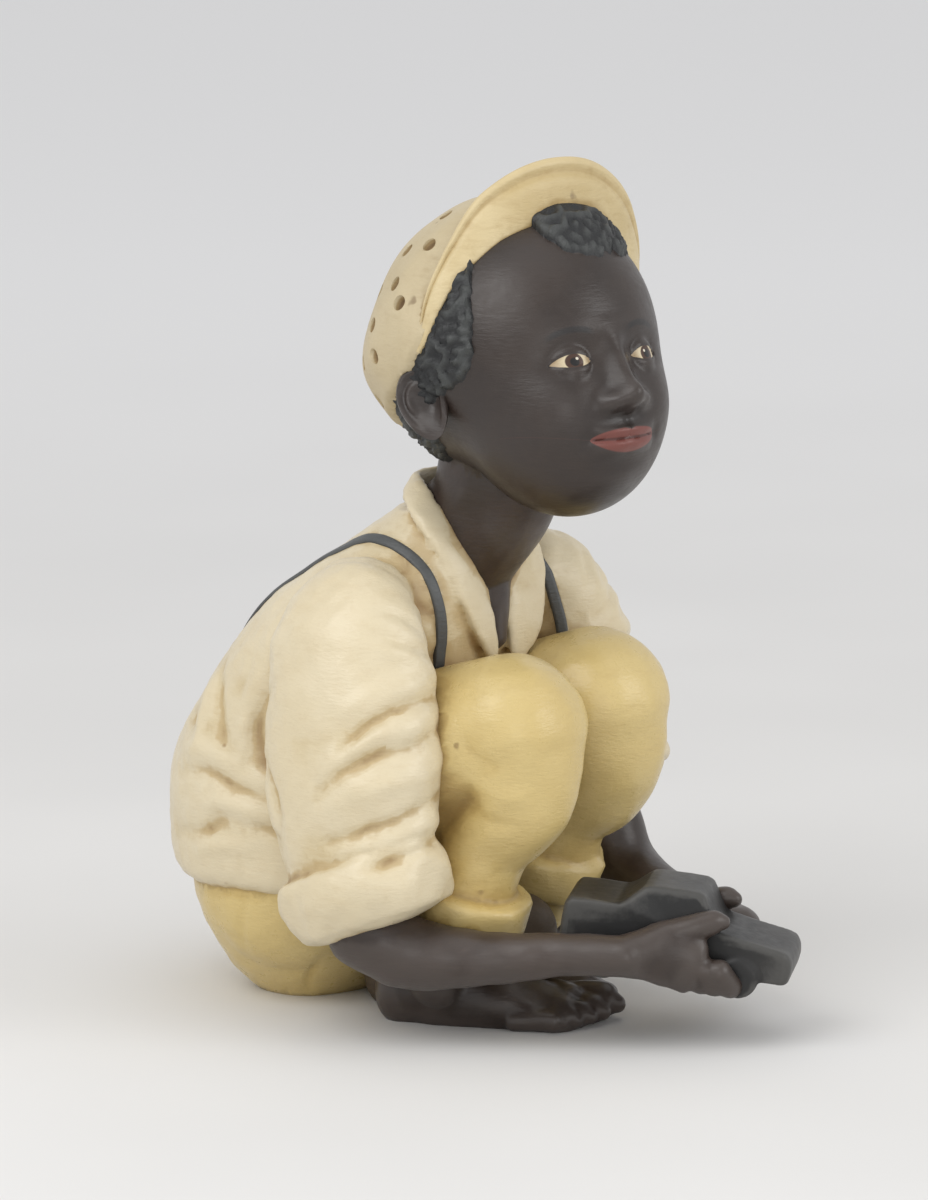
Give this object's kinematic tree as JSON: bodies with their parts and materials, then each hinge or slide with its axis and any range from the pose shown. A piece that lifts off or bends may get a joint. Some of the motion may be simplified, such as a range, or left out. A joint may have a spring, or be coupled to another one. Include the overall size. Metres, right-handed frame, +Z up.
{
  "type": "plaster child figure",
  "caption": "Painted plaster figure of a squatting child in a turned-up cap, braces and rolled sleeves, holding a toy car; stands on its seat and feet.",
  "frame": {"origin": "on the ground, at the middle of the box round the whole figure", "axes": "+Z up through the cap, -Y the way the figure's feet and toy car point, +X its left side"},
  "size_m": [0.2448, 0.3224, 0.4015],
  "materials": {
    "painted_plaster": "satin oil paint on cast plaster, worn at its edges"
  },
  "bodies": {
    "root": {"figure": "painted_plaster"}
  },
  "joints": []
}
